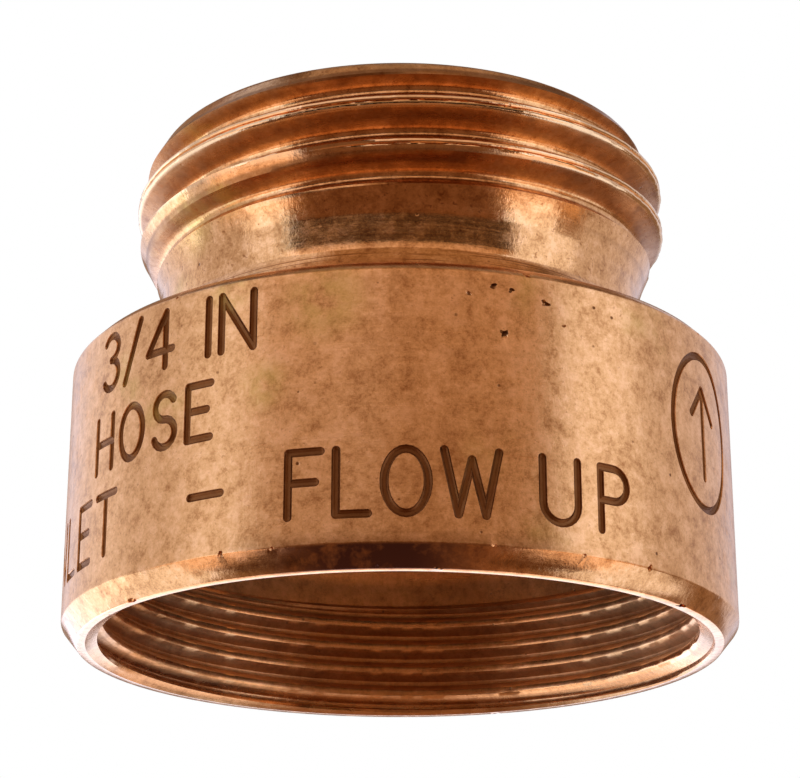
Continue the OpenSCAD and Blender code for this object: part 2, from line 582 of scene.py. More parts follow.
@dataclass(frozen=True)
class TurnedMetal(Finish):
    """Bare turned metal: fine tool rings, mottled tarnish, small pits, and recesses dulled and
    darkened by grime and painted shade.
    """

    dark: Colour = (0.3, 0.12, 0.045)
    ring_depth: float = 0.0022
    tarnish: float = 0.5
    stretch: float = 0.55
    pit_depth: float = 0.012
    pit_cells: float = 1.15  # in a millimetre

    def paint(self, bench: NodeBench, shader: bpy.types.Node) -> None:
        """Wire colour, roughness and bump of the metal.

        Args:
            bench: The material's bench.
            shader: The surface shader to feed.
        """
        at = Places.on(bench)
        rings = bench.noise(at.rings(9.0), 1.0, 3.0, 0.6)
        chatter = bench.noise(at.upright(2.4, 0.35), 1.0, 3.0, 0.6)
        cloud = bench.noise(at.point, 0.21, 4.0, 0.6)
        blot = bench.noise(at.point, 1.1, 4.0, 0.62)
        fleck = bench.noise(at.point, 4.6, 3.0, 0.68)
        grain = bench.noise(at.point, 9.0, 2.0, 0.6)
        mottle = bench.noise(at.point, 0.95, 4.0, 0.9)
        pits = self.pits(at)
        grime_and_shade_mask = self.recesses(at, blot, pits)

        browned = tuple(0.62 * a + 0.38 * b for a, b in zip(self.base, self.dark))
        pale = tuple(min(1.12 * c + 0.05, 1.0) for c in self.base)
        # grime and painted shade: recesses are darkened partly for grime, partly to paint the shade
        # that falls in them
        grime_and_shade = tuple(0.55 * c for c in self.dark)
        colour = bench.mix(bench.times(bench.step(cloud, 0.44, 0.66), 0.7 * self.tarnish),
                           self.base, browned)
        colour = bench.mix(bench.scaled(mottle, -4.2, 2.07, clamp=True), colour, self.dark)
        colour = bench.mix(bench.scaled(mottle, 7.5, -3.75, clamp=True), colour, pale)
        colour = bench.mix(bench.times(bench.step(fleck, 0.6, 0.72), self.tarnish),
                           colour, self.dark)
        # recesses take the grime and painted shade colour
        colour = self.tints(at, bench.mix(grime_and_shade_mask, colour, grime_and_shade), blot)

        rough = bench.scaled(rings, 0.16, self.roughness - 0.08)
        rough = bench.scaled(bench.step(blot, 0.45, 0.75), 0.1, rough)
        rough = bench.scaled(grime_and_shade_mask, 0.2, rough)
        rough = bench.scaled(self.polish(at), -0.14, rough, clamp=True)

        height = bench.times(grain, 0.0016)
        for relief, depth in ((blot, 0.006), (rings, self.ring_depth), (chatter, 0.004),
                              (mottle, 0.008), (fleck, 0.004), (pits, -self.pit_depth)):
            height = bench.scaled(relief, depth, height)
        ring = bench.node("ShaderNodeTangent", direction_type="RADIAL", axis="Z")
        self.wire(bench, shader, colour, rough, height, Tangent=ring.outputs[0], Metallic=1.0,
                  Anisotropic=self.stretch, Anisotropic_Rotation=0.25)

    def pits(self, at: Places) -> Socket:
        """Find the pin-prick pores, in about a third of the cells.

        Args:
            at: The point on the piece.

        Returns:
            Their mask.
        """
        bench = at.bench
        cells = bench.node("ShaderNodeTexVoronoi", {
            "Vector": at.point, "Scale": self.pit_cells, "Randomness": 1.0}).outputs
        share = bench.node("ShaderNodeSeparateColor", {"Color": cells["Color"]}).outputs["Red"]
        return bench.times(bench.step(cells["Distance"], 0.12, 0.05),
                           bench.step(share, 0.64, 0.95))

    def recesses(self, at: Places, blot: Socket, pits: Socket) -> Value:
        """Mask of the places darkened by grime and painted shade."""
        return 0.0

    def polish(self, at: Places) -> Value:
        """Mask of the places with a smoother cut."""
        return 0.0

    def tints(self, at: Places, colour: Socket, blot: Socket) -> Socket:
        """The colour with what only this metal shows."""
        return colour


@dataclass(frozen=True)
class ShellBronze(TurnedMetal):
    """The shell's bronze: engraved strokes and thread roots darkened by grime and painted shade, a
    little heat tint, painted shade on the lip's chamfer, crests paled by wear and a painted
    highlight, and painted light in the inlet.
    """

    shell_r: float = 16.32
    pitch: float = 2.209
    crest_z: float = 21.35
    yellow: Colour = (0.62, 0.42, 0.1)
    # dark colour of the painted shade on the lip's chamfer
    chamfer_shade_colour: Colour = (0.1, 0.045, 0.04)
    # pale colour: wear and a painted highlight on the crests, painted light in the inlet
    wear_and_painted_light: Colour = (0.92, 0.64, 0.36)
    stains: tuple[Spot, ...] = (
        # degrees from +X, radius, height, reach
        (-101.5, 16.3, 12.0, 2.6), (-143.0, 12.7, 19.2, 2.2), (-117.0, 16.3, 13.1, 1.5),
        (-111.0, 16.3, 8.3, 1.6), (-131.0, 12.9, 19.6, 1.4), (48.0, 16.3, 9.0, 2.4),
        (140.0, 12.6, 18.0, 2.0))
    # painted shade on the chamfer's front: degrees from +X, radius, height, reach
    chamfer_shade_spot: Spot = (-94.0, 15.9, 0.5, 7.5)

    def recesses(self, at: Places, blot: Socket, pits: Socket) -> Socket:
        """Find the strokes on the wall, the roots of both threads and the pits, which take grime
        and painted shade.

        Args:
            at: The point on the piece.
            blot: A noise that varies the grime and painted shade.
            pits: The pores' mask.

        Returns:
            The mask of them all.
        """
        bench = at.bench
        # strokes, thread roots, inlet thread and pits are darkened for grime and as painted shade
        stroke = bench.times(bench.band(at.z, 1.2, 13.1, 0.05), bench.band(
            at.radius, self.shell_r - 0.6, self.shell_r - 0.075, 0.05), 0.92)
        turn = bench.times(bench.maths("ARCTAN2", at.y, at.x), 0.5 / math.pi)
        climb = bench.scaled(at.z, 1 / self.pitch, -self.crest_z / self.pitch)
        phase = bench.maths("FRACT", bench.maths("SUBTRACT", climb, turn))
        root = bench.times(
            bench.band(phase, 0.7, 0.87, 0.08), bench.step(at.z, 18.2, 19.4),
            bench.band(at.radius, 11.6, 13.3, 0.12), bench.scaled(blot, 0.5, 0.4))
        inner = bench.times(bench.band(at.radius, 14.7, 15.1, 0.12),
                            bench.step(at.z, 6.6, 6.1), 0.3)
        return bench.either(stroke, root, inner, pits)

    def crest(self, at: Places) -> Socket:
        """Mask of the hose thread's crest, smoothed and paled by wear and a painted highlight."""
        step = at.bench.step
        return at.bench.times(step(at.radius, 13.22, 13.38), step(at.z, 16.6, 17.0))

    def polish(self, at: Places) -> Socket:
        """Neck, flare and bevels are cut smoother than the wall, and the crests are smoothed by
        wear.
        """
        step = at.bench.step
        cut = at.bench.either(step(at.z, 13.3, 13.5), step(at.z, 1.0, 0.85))
        return at.bench.scaled(self.crest(at), 0.7, cut)

    def tints(self, at: Places, colour: Socket, blot: Socket) -> Socket:
        """Lay heat tints and dark lines over the colour, pale the crests for wear and as a painted
        highlight, lighten the inlet as painted light, and darken the chamfer as painted shade.

        Args:
            at: The point on the piece.
            colour: The colour so far.
            blot: A noise that breaks up the painted shade on the chamfer.

        Returns:
            The finished colour.
        """
        bench = at.bench
        patch = bench.noise(at.point, 0.7, 3.0, 0.6)
        cloud = bench.step(bench.noise(at.point, 0.16, 2.0, 0.5), 0.64, 0.74)
        warm = bench.either(cloud, *(at.spot(*stain) for stain in self.stains))
        colour = bench.mix(bench.times(warm, bench.step(patch, 0.3, 0.62), 0.42),
                           colour, self.yellow)
        line = bench.noise(at.rings(7.0, 0.15), 1.0, 2.0, 0.7)
        speck = bench.noise(at.point, 2.6, 3.0, 0.75)
        lines = bench.times(bench.band(at.z, 13.9, 16.0, 0.3), bench.step(line, 0.54, 0.64))
        specks = bench.times(bench.step(at.z, 13.7, 13.9), bench.step(speck, 0.6, 0.7))
        colour = bench.mix(bench.times(bench.either(lines, specks), 0.85), colour, self.dark)
        # painted light: the inlet's inside is lightened a little; the crests are paled for wear and
        # as a painted highlight
        inside = bench.times(bench.step(at.z, 8.6, 8.4), bench.step(at.radius, 15.5, 15.2), 0.2)
        colour = bench.mix(bench.scaled(self.crest(at), 0.5, inside), colour, self.wear_and_painted_light)
        # painted shade: a dark patch on the lip's chamfer where it faces the camera, broken up by
        # noise
        chamfer_shade = bench.times(
            bench.step(at.z, 1.0, 0.85), bench.step(at.radius, 15.4, 15.6),
            at.spot(*self.chamfer_shade_spot), bench.scaled(blot, 2.0, 0.0, clamp=True))
        return bench.mix(chamfer_shade, colour, self.chamfer_shade_colour)


@dataclass(frozen=True)
class Rubber(Finish):
    """Black moulded rubber, matt with a faint bloom."""

    bloom: Colour = (0.06, 0.06, 0.062)

    def paint(self, bench: NodeBench, shader: bpy.types.Node) -> None:
        """Wire a mottled dark surface with a fine grain.

        Args:
            bench: The material's bench.
            shader: The surface shader to feed.
        """
        at = Places.on(bench)
        cloud = bench.noise(at.point, 0.5, 4.0, 0.6)
        grain = bench.noise(at.point, 14.0, 2.0, 0.6)
        self.wire(bench, shader, bench.mix(bench.step(cloud, 0.42, 0.7), self.base, self.bloom),
                  bench.scaled(cloud, 0.2, self.roughness - 0.1),
                  bench.scaled(grain, 0.004, bench.times(cloud, 0.01)))


@dataclass(frozen=True)
class Moulded(Finish):
    """Natural white moulded plastic, slightly see-through and satin."""

    shade: Colour = (0.62, 0.58, 0.48)

    def paint(self, bench: NodeBench, shader: bpy.types.Node) -> None:
        """Wire a soft creamy surface with faint flow marks.

        Args:
            bench: The material's bench.
            shader: The surface shader to feed.
        """
        at = Places.on(bench)
        cloud = bench.noise(at.point, 0.45, 3.0, 0.55)
        flow = bench.noise(at.rings(2.2), 1.0, 2.0, 0.5)
        self.wire(bench, shader, bench.mix(bench.step(cloud, 0.4, 0.72), self.base, self.shade),
                  bench.scaled(flow, 0.16, self.roughness - 0.08),
                  bench.scaled(flow, 0.006, bench.times(cloud, 0.01)),
                  Subsurface_Weight=0.15, Subsurface_Radius=(0.8, 0.7, 0.5),
                  Subsurface_Scale=MM)


@dataclass(frozen=True)
class DrawnSteel(Finish):
    """Bright drawn or pressed steel with short scratches."""

    shade: Colour = (0.34, 0.34, 0.35)

    def paint(self, bench: NodeBench, shader: bpy.types.Node) -> None:
        """Wire a streaked steel surface.

        Args:
            bench: The material's bench.
            shader: The surface shader to feed.
        """
        at = Places.on(bench)
        cloud = bench.noise(at.point, 0.8, 3.0, 0.6)
        streak = bench.noise(at.rings(12.0, 0.6), 1.0, 3.0, 0.6)
        self.wire(bench, shader, bench.mix(bench.step(cloud, 0.4, 0.75), self.base, self.shade),
                  bench.scaled(streak, 0.25, self.roughness - 0.12),
                  bench.times(streak, 0.002), Metallic=1.0)


BRONZE = ShellBronze("shell_bronze", Slot.BRONZE, (0.76, 0.38, 0.145), 0.3,
                     dark=(0.36, 0.13, 0.035))
BRASS = TurnedMetal("yellow_brass_parts", Slot.YELLOW_BRASS, (0.76, 0.55, 0.26), 0.34,
                    dark=(0.4, 0.24, 0.08), tarnish=0.35)
RUBBER = Rubber("black_rubber", Slot.RUBBER, (0.022, 0.022, 0.024), 0.62)
ACETAL = Moulded("natural_acetal", Slot.ACETAL, (0.78, 0.75, 0.66), 0.42)
STEEL = DrawnSteel("spring_steel", Slot.SPRING_STEEL, (0.58, 0.58, 0.59), 0.3)


# ---------------------------------------------------------------- repeated shapes

PIN_SIDES = 48


class PatternTree:
    """A node tree that repeats one bar or pin round the axis, or winds a spring."""

    def __init__(self, name: str, sizes: dict[str, float]) -> None:
        """Open a tree with one named input for each size.

        Args:
            name: The tree's name.
            sizes: Input names and their values, lengths in metres.
        """
        self.tree = bpy.data.node_groups.new(name, "GeometryNodeTree")
        self.sizes = sizes
        kinds = {**{key: "NodeSocketFloat" for key in sizes}, "Finish": "NodeSocketMaterial"}
        face = self.tree.interface
        self.ids = {key: face.new_socket(key, in_out="INPUT", socket_type=kind).identifier
                    for key, kind in kinds.items()}
        face.new_socket("Geometry", in_out="OUTPUT", socket_type="NodeSocketGeometry")
        self.bench = NodeBench(self.tree)
        self.inputs = self.bench.node("NodeGroupInput").outputs

    def size(self, key: str) -> Socket:
        """The socket of one named size."""
        return self.inputs[key]

    def close(self, shape: Socket) -> None:
        """End the tree with real geometry in its finish.

        Args:
            shape: The socket of the geometry made so far.
        """
        real = self.bench.node("GeometryNodeRealizeInstances", {"Geometry": shape}).outputs[0]
        dressed = self.bench.node("GeometryNodeSetMaterial", {
            "Geometry": real, "Material": self.inputs["Finish"]}).outputs[0]
        self.bench.node("NodeGroupOutput", {0: dressed})

    def make(self, name: str, finish: Finish) -> bpy.types.Object:
        """Run the tree on an empty mesh.

        Args:
            name: The new object's name.
            finish: The finish of its faces.

        Returns:
            A plain mesh object with no modifier.
        """
        made = mesh_piece(name, np.zeros((0, 3)), [])
        runner = made.modifiers.new("pattern", "NODES")
        runner.node_group = self.tree
        for key, value in {**self.sizes, "Finish": finish.material()}.items():
            runner[self.ids[key]] = value
        settle(made)
        return made


def ring_of(name: str, finish: Finish, count: int, first: float, item: Item, radius: float,
            size: tuple[float, float, float], low: float) -> bpy.types.Object:
    """Repeat a bar or a pin round the axis with Geometry Nodes.

    Args:
        name: The object's name.
        finish: Its finish.
        count: How many there are.
        first: Degrees of the first one from +X.
        item: What is repeated.
        radius: Distance of each centre from the axis, in millimetres.
        size: Length outward, width and height of a bar; diameter twice and height of a pin.
        low: Height of the undersides.

    Returns:
        One object with all of them.
    """
    length, width, height = size
    plan = PatternTree(name + "_pattern", {
        "Count": float(count), "First": math.radians(first), "Radius": radius * MM,
        "Length": length * MM, "Width": width * MM, "Height": height * MM,
        "Middle": (low + height / 2) * MM})
    bench = plan.bench
    if item is Item.BAR:
        inputs = {"Size": bench.vector(plan.size("Length"), plan.size("Width"),
                                       plan.size("Height"))}
    else:
        inputs = {"Vertices": PIN_SIDES, "Radius": bench.times(plan.size("Width"), 0.5),
                  "Depth": plan.size("Height")}
    shape = bench.node(item.value, inputs).outputs["Mesh"]
    dots = bench.node("GeometryNodePoints", {"Count": plan.size("Count")}).outputs[0]
    number = bench.node("GeometryNodeInputIndex").outputs[0]
    apart = bench.maths("DIVIDE", 2 * math.pi, plan.size("Count"))
    turn = bench.scaled(number, apart, plan.size("First"))
    place = bench.vector(bench.times(plan.size("Radius"), bench.maths("COSINE", turn)),
                         bench.times(plan.size("Radius"), bench.maths("SINE", turn)),
                         plan.size("Middle"))
    placed = bench.node("GeometryNodeSetPosition", {"Geometry": dots, "Position": place})
    copies = bench.node("GeometryNodeInstanceOnPoints", {
        "Points": placed.outputs[0], "Instance": shape,
        "Rotation": bench.vector(0.0, 0.0, turn)})
    plan.close(copies.outputs[0])
    return plan.make(name, finish)


# ---------------------------------------------------------------- the turned shell


@dataclass
class Rows:
    """Rows of a turned surface, radius and height for each row and column."""

    radius: np.ndarray
    height: np.ndarray
    lead: int = 0

    @classmethod
    def plain(cls, profile: Path, columns: int) -> "Rows":
        """Level rows from a profile of radius and height."""
        shape = np.asarray(profile, float)
        return cls(np.repeat(shape[:, :1], columns, 1), np.repeat(shape[:, 1:], columns, 1))


@dataclass(frozen=True)
class Helix:
    """A thread whose rows follow the helix, so that every crest edge is a clean line."""

    pitch: float
    origin: float
    section: tuple[Point, ...]

    def heights(self, part: np.ndarray, first: int, last: int) -> np.ndarray:
        """Heights of the rows, one row for each corner of the section in each turn.

        Args:
            part: Share of the turn from +X of each column.
            first: Number of the first turn.
            last: Number after the last one.

        Returns:
            One height for each row and column.
        """
        offsets = np.array(self.section)[:, 0]
        turns = np.repeat(np.arange(first, last), len(offsets))
        z = self.origin + turns * self.pitch + np.tile(offsets, last - first)
        return z[:, None] + self.pitch * part

    def climb(self, z: np.ndarray, part: np.ndarray) -> tuple[np.ndarray, np.ndarray, np.ndarray]:
        """Find where points lie on the helix.

        Args:
            z: Height of each point.
            part: Share of the turn from +X of each column.

        Returns:
            Pitches climbed, millimetres from the section's middle, and the section's value.
        """
        pitches = (z - self.origin) / self.pitch - part
        off = (pitches - np.round(pitches)) * self.pitch
        return pitches, off, np.interp(off, *np.array(self.section).T, period=self.pitch)


@dataclass(frozen=True)
class HoseThread(Helix):
    """The outside thread, with a doubled burr on its crest, and the blank it is cut in."""

    pitch: float = 2.209
    origin: float = 21.35
    section: tuple[Point, ...] = (
        (-1.1045, 0.0), (-1.0, 0.014), (-0.9, 0.056), (-0.82, 0.119), (-0.74, 0.235), (-0.66, 0.43),
        (-0.55, 0.69), (-0.44, 0.956), (-0.31, 1.25), (-0.26, 1.34), (-0.2, 1.39), (-0.13, 1.4),
        (-0.07, 1.375), (-0.04, 1.29), (0.01, 1.28), (0.045, 1.365), (0.1, 1.4), (0.19, 1.39),
        (0.25, 1.34), (0.31, 1.25), (0.44, 0.956), (0.55, 0.69), (0.66, 0.43), (0.74, 0.235),
        (0.82, 0.119), (0.9, 0.056), (1.0, 0.014))
    crest_r: float = 13.46
    root_r: float = 12.06
    low: float = 16.9
    top: float = 25.5
    runout: float = 8 / 30
    neck_r: float = 11.9
    foot_z: float = 16.24
    full_z: float = 20.894
    tip: tuple[Point, ...] = ((23.55, 13.46), (25.35, 12.44), (25.5, 12.26))  # height, radius
    burr_low: Point = (0.022, 0.012)  # wobble and sink of the crest's lower half
    burr_high: Point = (0.014, 0.006)
    burr_half: float = 0.28
    lip_out: float = 0.05  # metal pushed up where the cut leaves the blank
    lip_wide: float = 0.1
    lip_top: float = 20.5

    def envelope(self, z: np.ndarray) -> np.ndarray:
        """Radius of the blank before the thread is cut.

        Args:
            z: Height of each point.

        Returns:
            One radius for each height.
        """
        share = np.clip((z - self.foot_z) / (self.full_z - self.foot_z), 0, 1)
        swell = np.maximum(share ** 1.9, 0.389 * np.minimum(share, 0.35))
        neck = self.neck_r + (self.crest_r - self.neck_r) * swell
        return np.where(z < self.tip[0][0], neck, np.interp(z, *np.array(self.tip).T))

    def radius(self, part: np.ndarray, z: np.ndarray, turn: np.ndarray) -> np.ndarray:
        """Radius of the finished end.

        Args:
            part: Share of the turn from +X of each column.
            z: Height of each point.
            turn: Angle of each column, in radians.

        Returns:
            One radius for each height.
        """
        pitches, off, rise = self.climb(z, part)
        along = np.floor(pitches) + 1 + part
        fade = 0.75 * np.clip(1 - (along + 1) / self.runout, 0, None)
        radius = np.where(along < -1.0, self.crest_r + 1, self.root_r + np.maximum(rise, fade))
        low, high = (
            wobble * smooth_noise(turn, seed, waves) - sink for (wobble, sink), seed, waves in (
                (self.burr_low, 5, (37, 61, 89, 121, 143)),
                (self.burr_high, 6, (29, 53, 97, 131))))
        burr = np.where(off < 0, low, high) * (np.abs(off) < self.burr_half)
        blank = self.envelope(z)
        lip = self.lip_out * np.exp(-((radius - blank) / self.lip_wide) ** 2)
        lip = lip * (z < self.lip_top) * (along > 0)
        return np.minimum(radius + np.minimum(burr, 0.0), blank) + lip

    def rows(self, turn: np.ndarray) -> Rows:
        """Rows of the threaded end, from the neck up.

        Args:
            turn: Angle of each column from +X, in radians.

        Returns:
            The rows, with the pitch as their lead.
        """
        part = turn[None, :] / (2 * math.pi)
        z = np.clip(self.heights(part, -3, 3), self.low, self.top)
        return Rows(self.radius(part, z, turn[None, :]), z, len(self.section))


@dataclass(frozen=True)
class PipeThread(Helix):
    """The fine thread inside the inlet, cut into the wall from the lip up."""

    pitch: float = 1.27
    origin: float = 0.62 * 1.27
    section: tuple[Point, ...] = (
        (-0.635, 0.68), (-0.53, 0.66), (-0.45, 0.54), (-0.30, 0.28), (-0.16, 0.04), (-0.1, 0.0),
        (0.1, 0.0), (0.16, 0.04), (0.30, 0.28), (0.45, 0.54), (0.53, 0.66))
    minor_r: float = 14.4
    top: float = 6.15
    mouth: tuple[Point, ...] = (
        (0.0, 15.13), (0.2, 14.9), (0.42, 14.38), (5.6, 14.38), (6.15, 15.2))  # height, radius
    burr: float = 0.02
    burr_half: float = 0.11

    def rows(self, turn: np.ndarray) -> Rows:
        """Rows of the inlet's wall, from the relief down to the lip.

        Args:
            turn: Angle of each column from +X, in radians.

        Returns:
            The rows, with the pitch as their lead, downward.
        """
        part = turn[None, :] / (2 * math.pi)
        z = np.clip(self.heights(part, -2, 6), 0.0, self.top)
        off, depth = self.climb(z, part)[1:]
        burr = self.burr * np.abs(smooth_noise(turn, 9, (23, 41, 59, 83)))[None, :]
        radius = self.minor_r + depth + np.where(np.abs(off) < self.burr_half, burr, 0.0)
        radius = np.maximum(radius, np.interp(z, *np.array(self.mouth).T))
        return Rows(radius[::-1], z[::-1], -len(self.section))


# Each letter's width and its strokes, for a letter one unit tall.
GLYPHS: dict[str, tuple[float, tuple[Path, ...]]] = {
    "I": (0.06, (((0.03, 0), (0.03, 1)),)),
    "N": (0.62, (((0, 0), (0, 1)), ((0, 1), (0.62, 0)), ((0.62, 0), (0.62, 1)))),
    "L": (0.48, (((0, 1), (0, 0)), ((0, 0), (0.48, 0)))),
    "E": (0.5, (((0, 0), (0, 1)), ((0, 1), (0.5, 1)), ((0, 0.52), (0.42, 0.52)),
                ((0, 0), (0.5, 0)))),
    "T": (0.6, (((0, 1), (0.6, 1)), ((0.3, 1), (0.3, 0)))),
    "F": (0.5, (((0, 0), (0, 1)), ((0, 1), (0.5, 1)), ((0, 0.52), (0.42, 0.52)))),
    "O": (0.66, (arc((0.33, 0.5), (0.33, 0.5), 90, 450, 28),)),
    "W": (0.84, (((0, 1), (0.21, 0)), ((0.21, 0), (0.42, 0.86)), ((0.42, 0.86), (0.63, 0)),
                 ((0.63, 0), (0.84, 1)))),
    "U": (0.6, (((0, 1), (0, 0.5), *arc((0.3, 0.3), (0.3, 0.3), 180, 360, 14), (0.6, 0.5),
                 (0.6, 1)),)),
    "P": (0.52, (((0, 0), (0, 1)),
                 ((0, 1), (0.25, 1), *arc((0.26, 0.74), (0.26, 0.26), 90, -90, 14),
                  (0.25, 0.48), (0, 0.48)))),
    "H": (0.58, (((0, 0), (0, 1)), ((0.58, 0), (0.58, 1)), ((0, 0.52), (0.58, 0.52)))),
    "S": (0.54, ((*arc((0.28, 0.76), (0.24, 0.24), 25, 180, 10),
                  *arc((0.28, 0.76), (0.24, 0.24), 195, 268, 5),
                  *arc((0.28, 0.26), (0.26, 0.26), 88, 0, 6),
                  *arc((0.28, 0.26), (0.26, 0.26), -15, -160, 10)),)),
    "3": (0.5, (arc((0.24, 0.77), (0.24, 0.23), 150, -90, 14),
                arc((0.24, 0.27), (0.26, 0.27), 90, -150, 16))),
    "4": (0.6, (((0.44, 0), (0.44, 1)), ((0.44, 1), (0, 0.3)), ((0, 0.3), (0.6, 0.3)))),
    "/": (0.42, (((0, -0.04), (0.42, 1.04)),)),
    "-": (0.62, (((0, 0.42), (0.62, 0.42)),)),
    " ": (0.3, ()),
}


@dataclass(frozen=True)
class Marking:
    """One row of plain capitals cut into the shell with a round-nosed tool."""

    words: str
    start: float  # degrees from the front, towards +X
    low: float
    tall: float
    space: float = 0.24

    def strokes(self, shell_r: float) -> Iterator[tuple[int, Path]]:
        """Lay out the row.

        Args:
            shell_r: Radius of the wall it is cut in.

        Yields:
            Each stroke's order within its letter, and its path as arc length and height.
        """
        at = math.radians(self.start) * shell_r
        for letter in self.words:
            width, shapes = GLYPHS[letter]
            for order, shape in enumerate(shapes):
                yield order, [(at + self.tall * x, self.low + self.tall * y) for x, y in shape]
            at += self.tall * (width + self.space)


@dataclass(frozen=True)
class Badge:
    """A plain ring round an arrow that points the way of the flow."""

    angle: float = 59.0
    z: float = 8.4
    ring: Point = (2.75, 3.7)
    shaft: Point = (-2.2, 2.1)
    barb: Point = (1.1, 0.7)

    def strokes(self, shell_r: float) -> Iterator[tuple[int, Path]]:
        """Lay out the badge.

        Args:
            shell_r: Radius of the wall it is cut in.

        Yields:
            Each stroke's order, and its path as arc length and height.
        """
        mid = math.radians(self.angle) * shell_r
        tip = (mid, self.z + self.shaft[1])
        ring = arc((mid, self.z), self.ring, 0, 360, 60)
        yield 0, [*ring[:-1], ring[0]]
        yield 0, [(mid, self.z + self.shaft[0]), tip]
        for order, side in ((1, -1), (2, 1)):
            yield order, [tip, (mid + side * self.barb[0], self.z + self.barb[1])]


@dataclass(frozen=True)
class Cutter:
    """The round-nosed tool that cuts the marks."""

    shell_r: float = 16.32
    nose_r: float = 0.2
    lift: float = 0.02
    sides: int = 10
    stride: float = 0.22
    nose: tuple[float, ...] = (72, 45, 22)  # degrees of the rings that round an end

    def sweep(self, path: Path) -> Part:
        """A closed tube along a path on the shell.

        Args:
            path: Arc length from the front and height of each point, in millimetres.

        Returns:
            Points and faces of the tube; a path that ends where it began makes a ring.
        """
        flat = np.asarray(path, float)
        ring = bool(np.linalg.norm(flat[0] - flat[-1]) < 1e-6)
        steps = np.linalg.norm(np.diff(flat, axis=0), axis=1)
        length = np.concatenate([[0], np.cumsum(steps)])
        count = max(int(length[-1] / self.stride), 2)
        even = np.linspace(0, length[-1], count + 1)
        flat = np.column_stack([np.interp(even, length, flat[:, k]) for k in (0, 1)])
        if ring:
            flat = flat[:-1]
            ahead, behind = np.roll(flat, -1, 0), np.roll(flat, 1, 0)
        else:
            ahead, behind = np.vstack([flat[1:], flat[-1:]]), np.vstack([flat[:1], flat[:-1]])
        way = ahead - behind
        way /= np.linalg.norm(way, axis=1)[:, None]
        stops = [(spot, along, 1.0) for spot, along in zip(flat, way)]
        if not ring:
            nose = [(self.nose_r * math.sin(a), math.cos(a)) for a in np.radians(self.nose)]
            stops = ([(flat[0] - way[0] * out, way[0], scale) for out, scale in nose] + stops
                     + [(flat[-1] + way[-1] * out, way[-1], scale) for out, scale in nose[::-1]])
        spin = 2 * math.pi * np.arange(self.sides) / self.sides
        points = []
        for spot, along, scale in stops:
            side = np.array([-along[1], along[0]])
            shift = np.outer(np.cos(spin), side) * self.nose_r * scale + spot
            depth = self.shell_r + self.lift + self.nose_r * scale * np.sin(spin)
            angle = shift[:, 0] / self.shell_r
            points.append(np.column_stack([
                depth * np.sin(angle), -depth * np.cos(angle), shift[:, 1]]))
        n, m = self.sides, len(stops)
        faces = bands(in_turn(m) if ring else in_turn(m)[:-1], n)
        if not ring:
            faces += [tuple(range(n))[::-1], tuple((m - 1) * n + k for k in range(n))]
        return np.concatenate(points), faces


